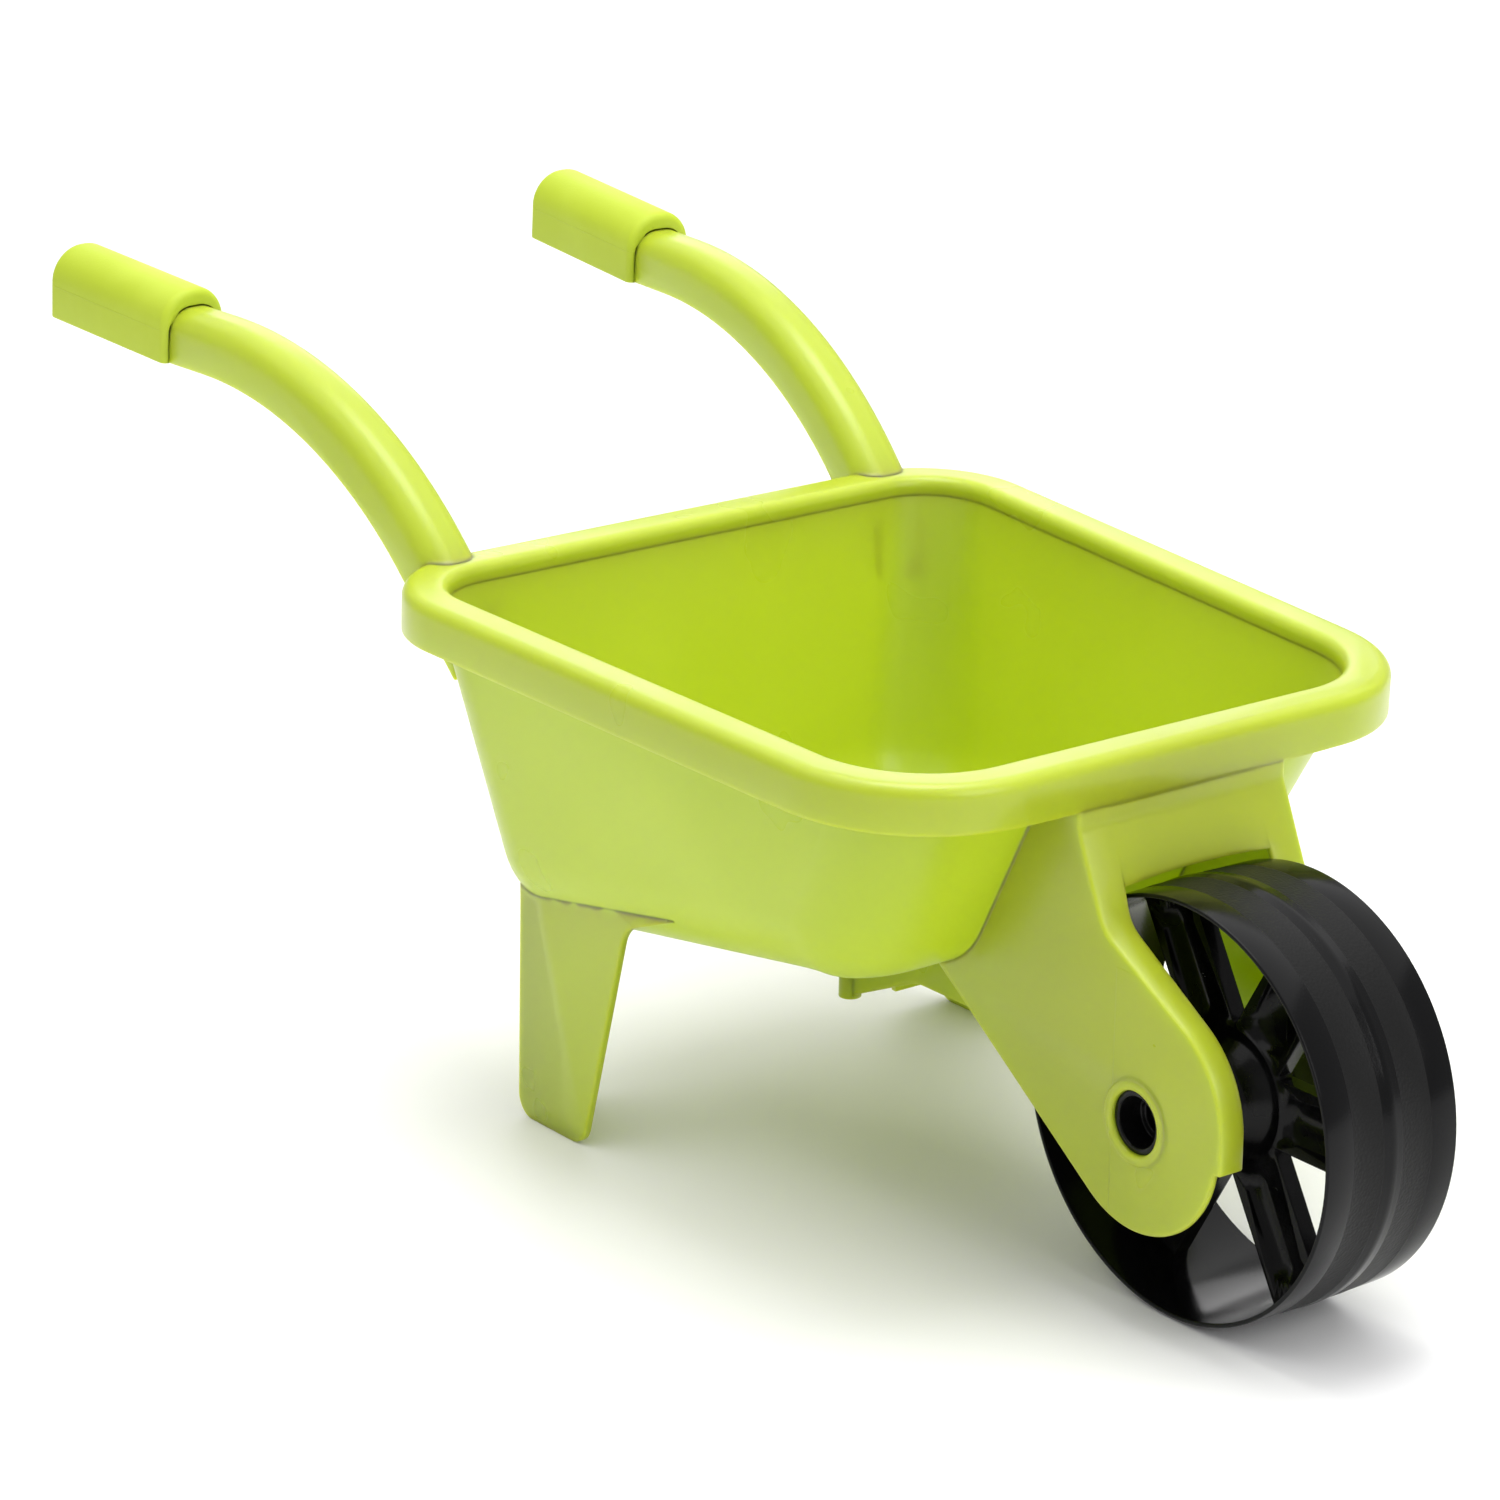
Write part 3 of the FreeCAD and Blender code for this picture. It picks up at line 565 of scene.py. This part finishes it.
def wheelProfile(look):
    # the band's section from the middle of the tread to one side and back inside, then mirrored
    half = wheelHalf
    outer = wheelRadius
    edge = outer - look["crown"] * mm - look["edgeDrop"] * mm
    inner = blackLook["bandInner"] * mm
    outerBand = blackLook["bandOuter"] * mm
    bend = look["edgeRound"] * mm
    step = look["bandStep"] * mm
    run = look["bandRun"] * mm
    lift = look["bandLift"] * mm
    besideRidge = outer - look["ridge"] * mm
    innerEdge = edge - look["edgeWall"] * mm
    right = [
        (outer, 0.0),
        (outer - look["ridgeFall"] * mm, look["ridgeHalf"] * look["ridgeTop"] * mm),
        (besideRidge, look["ridgeHalf"] * mm),
        (besideRidge, inner),
        (besideRidge - step, inner + run),
        (besideRidge - step, look["crownHalf"] * mm),
        (edge + lift - step, outerBand - run),
        (edge + lift, outerBand),
        (edge, half - look["shoulder"] * mm),
    ]
    right += [
        (edge - bend + bend * math.cos(t), half - bend + bend * math.sin(t))
        for t in (math.pi / 6, math.pi / 3, math.pi / 2)
    ]
    right += [
        (innerEdge + look["innerRun"] * mm, half),
        (innerEdge, half - look["innerDepth"] * mm),
        (outer - look["wall"] * mm, look["crownHalf"] * mm),
    ]
    left = [(r, -along) for r, along in reversed(right[1:])]
    return right + left


finishPiece(
    "wheelBand", spun(wheelProfile(wheelLook), wheelLook["steps"]), ["wheel_band"], "wheel",
    blackTread, 30.0,
)
finishPiece(
    "wheelSpider", mergedCopy("wheel_spider"), ["wheel_spider"], "wheel", black, 30.0
)

stubRound = 0.5  # millimetres
for node, name in (("axle_stub_left", "axleStubLeft"), ("axle_stub_right", "axleStubRight")):
    finishPiece(
        name, softened(mergedCopy(node), stubRound), [node], "wheel", black
    )
print("wheel made")


# the members of the one green moulding, and how far each one's edges are rounded, in millimetres
edgeLook = {
    "tub_shell": 0.5,
    "rim": 0.5,
    "fork_hood": 0.5,
    "fork_cheek_left": 0.9,
    "fork_cheek_right": 0.9,
    "handle_arm_left": 0.6,
    "handle_arm_right": 0.6,
    "leg_left": 0.8,
    "leg_right": 0.8,
    "keel_rib": 0.4,
}

joinLook = {
    "touching": 0.15,  # a corner this near another member lies on it, in millimetres
    "pressed": 0.12,  # a hidden face's middle is this near
    "opposed": -0.9,  # and the two faces look at each other
    "boxSpare": 0.05,  # a rounded member stays this near its own box
    "volumeSpare": 0.06,  # and keeps its volume within this share
}

surfaces = {node: BVHTree.FromBMesh(mergedCopy(node)) for node in edgeLook}


def touches(spot, member):
    return surfaces[member].find_nearest(spot, joinLook["touching"] * mm)[0] is not None


def againstNeighbour(edge, node):
    # true for an edge that lies on another member, so it isn't an edge of the moulding at all
    middle = (edge.verts[0].co + edge.verts[1].co) / 2
    return any(touches(middle, other) for other in edgeLook if other != node)


def isHidden(face, node):
    # a face pressed against another member is inside the moulding
    middle = face.calc_center_median()
    for other in edgeLook:
        if other == node:
            continue
        spot, facing = surfaces[other].find_nearest(middle, joinLook["pressed"] * mm)[:2]
        if spot is None or facing.dot(face.normal) > joinLook["opposed"]:
            continue
        if all(touches(vert.co, other) for vert in face.verts):
            return True
    return False


def dropHidden(bm, node):
    bm.normal_update()
    hidden = [face for face in bm.faces if isHidden(face, node)]
    bmesh.ops.delete(bm, geom=hidden, context="FACES")
    return len(hidden)


def fits(bm, node):
    # a bevel that went wrong leaves the member's own box or changes its volume
    low, high = boxOf(node)
    spare = joinLook["boxSpare"] * mm
    inside = all(
        low[i] - spare < vert.co[i] < high[i] + spare for vert in bm.verts for i in range(3)
    )
    plain = mergedCopy(node)
    before = plain.calc_volume()
    plain.free()
    return inside and abs(bm.calc_volume() / before - 1) < joinLook["volumeSpare"]


archEnd = boxOf("fork_hood")[0].z
body = bmesh.new()
for node, width in edgeLook.items():
    rounded = softened(mergedCopy(node), width, keep=lambda edge: againstNeighbour(edge, node))
    if not fits(rounded, node):
        print("kept plain:", node)
        rounded.free()
        rounded = mergedCopy(node)
    if node.startswith("fork_cheek"):
        # part the flange's inner face where the hood's arch ends
        bmesh.ops.bisect_plane(
            rounded, geom=rounded.verts[:] + rounded.edges[:] + rounded.faces[:], dist=0.001 * mm,
            plane_co=(0.0, 0.0, archEnd), plane_no=(0.0, 0.0, 1.0),
        )
    print(node, "hidden faces:", dropHidden(rounded, node))
    member = bpy.data.meshes.new("member")
    rounded.to_mesh(member)
    rounded.free()
    body.from_mesh(member)
    bpy.data.meshes.remove(member)

moulding = finishPiece("bodyMoulding", body, list(edgeLook), "barrow", green)
print("body moulding made:", len(moulding.data.polygons), "faces")

for node, name in (("grip_left", "gripLeft"), ("grip_right", "gripRight")):
    finishPiece(
        name, softened(mergedCopy(node), gripLook["round"]), [node], "barrow", gripGreen
    )
print("grips made")


floorMesh = bmesh.new()
bmesh.ops.create_grid(floorMesh, x_segments=2, y_segments=2, size=floorLook["half"])
floorZ = cadBox[0].z - floorLook["drop"] * mm
bmesh.ops.translate(floorMesh, verts=floorMesh.verts, vec=(0.0, 0.0, floorZ))
floorData = bpy.data.meshes.new("floor")
floorMesh.to_mesh(floorData)
floorMesh.free()
floorData.materials.append(floorPaint())
floor = bpy.data.objects.new("floor", floorData)
scene.collection.objects.link(floor)

roomLight = {"colour": (1.0, 1.0, 1.0, 1.0), "strength": 0.52}
world = bpy.data.worlds.new("studio")
scene.world = world
world.use_nodes = True
background = world.node_tree.nodes["Background"].inputs
background["Color"].default_value = roomLight["colour"]
background["Strength"].default_value = roomLight["strength"]
scene.view_settings.view_transform = "Standard"

lightsAim = Vector((0.0, 0.0, 0.12))
studioLights = {
    "ceiling": {"at": (-0.5, 0.5, 4.5), "size": 9.0, "power": 230.0},
    "overhead": {"at": (0.0, 0.1, 1.5), "size": 0.8, "power": 11.0},
    "key": {"at": (-0.5, -1.6, 2.2), "size": 1.6, "power": 3.0},
    "front": {"at": (2.4, 0.3, 1.5), "size": 1.4, "power": 22.0},
    "back": {"at": (-2.6, 2.0, 1.6), "size": 1.5, "power": 14.0},
}
for name, light in studioLights.items():
    lamp = bpy.data.lights.new(name, "AREA")
    lamp.size = light["size"]
    lamp.energy = light["power"]
    lampObject = bpy.data.objects.new(name, lamp)
    scene.collection.objects.link(lampObject)
    lampObject.location = light["at"]
    aim = lightsAim - Vector(light["at"])
    lampObject.rotation_euler = aim.to_track_quat("-Z", "Y").to_euler()

cameraSet = {
    "at": (1.4980, -1.1947, 0.7838),
    "ahead": (-0.74163, 0.58703, -0.32462),
    "up": (-0.26423, 0.18916, 0.94573),
    "lens": 131.1,
    "sensor": 36.0,
    "shift": (-0.0230, 0.0108),
}
cameraData = bpy.data.cameras.new("camera")
cameraData.lens = cameraSet["lens"]
cameraData.sensor_width = cameraSet["sensor"]
cameraData.shift_x, cameraData.shift_y = cameraSet["shift"]
camera = bpy.data.objects.new("camera", cameraData)
scene.collection.objects.link(camera)
ahead = Vector(cameraSet["ahead"]).normalized()
across = ahead.cross(Vector(cameraSet["up"])).normalized()
upward = across.cross(ahead)
turn = Matrix((across, upward, -ahead)).transposed().to_4x4()
camera.matrix_world = Matrix.Translation(cameraSet["at"]) @ turn
scene.camera = camera
print("studio made")
